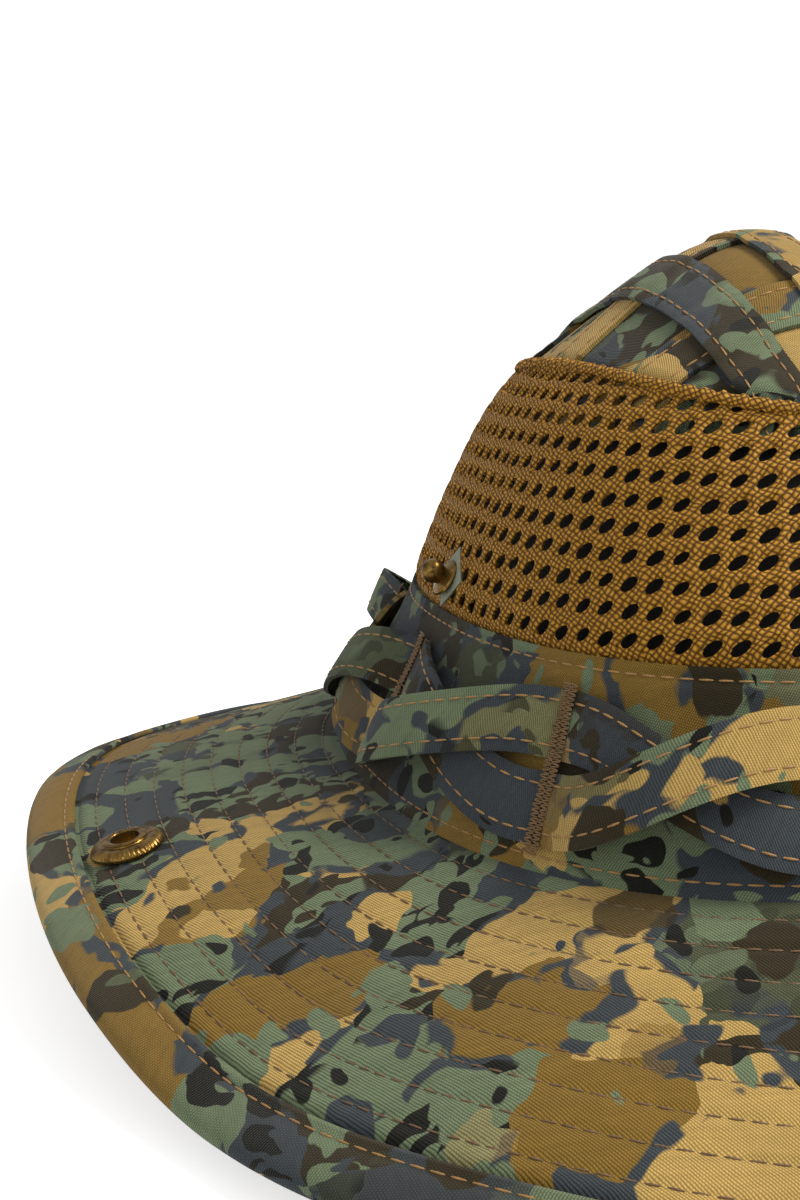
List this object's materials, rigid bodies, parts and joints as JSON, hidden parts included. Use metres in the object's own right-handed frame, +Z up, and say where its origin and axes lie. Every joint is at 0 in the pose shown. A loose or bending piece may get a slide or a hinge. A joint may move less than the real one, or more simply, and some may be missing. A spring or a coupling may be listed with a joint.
{
  "type": "boonie hat",
  "caption": "Wide-brimmed field hat with a ventilated mesh crown, woven foliage loops, and brim sides that fold up and snap to the crown.",
  "frame": {"origin": "on the ground under the centre of the hat, which stands on the front and back edges of its brim", "axes": "+Z up, the front of the hat looks along -Y, the wearer's right side is -X"},
  "size_m": [0.2954, 0.315, 0.1412],
  "materials": {
    "camo_cloth": "cotton twill printed with a blotchy woodland pattern",
    "camo_tape": "folded tape of the same printed twill, two rows of topstitching",
    "mesh_knit": "coyote brown warp-knit polyester mesh, open holes",
    "sweatband_cloth": "plain olive cotton",
    "lining_tape": "woven binding tape",
    "interlining": "stiff woven interlining, hidden",
    "thread": "brown polyester thread",
    "antique_brass": "antique brass, darkened in the hollows"
  },
  "bodies": {
    "crown": {"lower_side_band": "camo_cloth", "mesh_band": "mesh_knit", "crown_top_panel": "camo_cloth", "crown_seam_tape": "lining_tape", "sweatband": "sweatband_cloth", "top_tape_across_front": "camo_tape", "top_tape_across_middle": "camo_tape", "top_tape_across_back": "camo_tape", "top_tape_along_right": "camo_tape", "top_tape_along_middle": "camo_tape", "top_tape_along_left": "camo_tape", "foliage_tape_outer_front": "camo_tape", "foliage_tape_inner_front": "camo_tape", "foliage_tape_outer_back": "camo_tape", "foliage_tape_inner_back": "camo_tape", "foliage_loops_right": "camo_tape", "foliage_loops_left": "camo_tape", "bartacks": "thread", "brim_top_cloth": "camo_cloth", "brim_interlining": "interlining", "brim_bottom_cloth": "camo_cloth", "brim_binding": "camo_cloth", "snap_stud_right": "antique_brass", "snap_post_right": "antique_brass", "stud_patch_right": "camo_cloth", "snap_stud_left": "antique_brass", "snap_post_left": "antique_brass", "stud_patch_left": "camo_cloth"},
    "right_brim_side": {"right_flap_top_cloth": "camo_cloth", "right_flap_interlining": "interlining", "right_flap_bottom_cloth": "camo_cloth", "right_flap_binding": "camo_cloth", "snap_socket_right": "antique_brass", "snap_cap_right": "antique_brass"},
    "left_brim_side": {"left_flap_top_cloth": "camo_cloth", "left_flap_interlining": "interlining", "left_flap_bottom_cloth": "camo_cloth", "left_flap_binding": "camo_cloth", "snap_socket_left": "antique_brass", "snap_cap_left": "antique_brass"}
  },
  "joints": [
    {"name": "right_brim_fold", "type": "hinge", "parent": "crown", "child": "right_brim_side", "pos_m": [-0.0882, 0, 0.03679], "axis": [0, 1, 0], "range_deg": [0, 133.5], "stiffness_Nm_per_rad": 0.01, "deforming": ["foliage_loops_right"]},
    {"name": "left_brim_fold", "type": "hinge", "parent": "crown", "child": "left_brim_side", "pos_m": [0.0882, 0, 0.03679], "axis": [0, -1, 0], "range_deg": [0, 133.5], "stiffness_Nm_per_rad": 0.01, "deforming": ["foliage_loops_left"]}
  ]
}
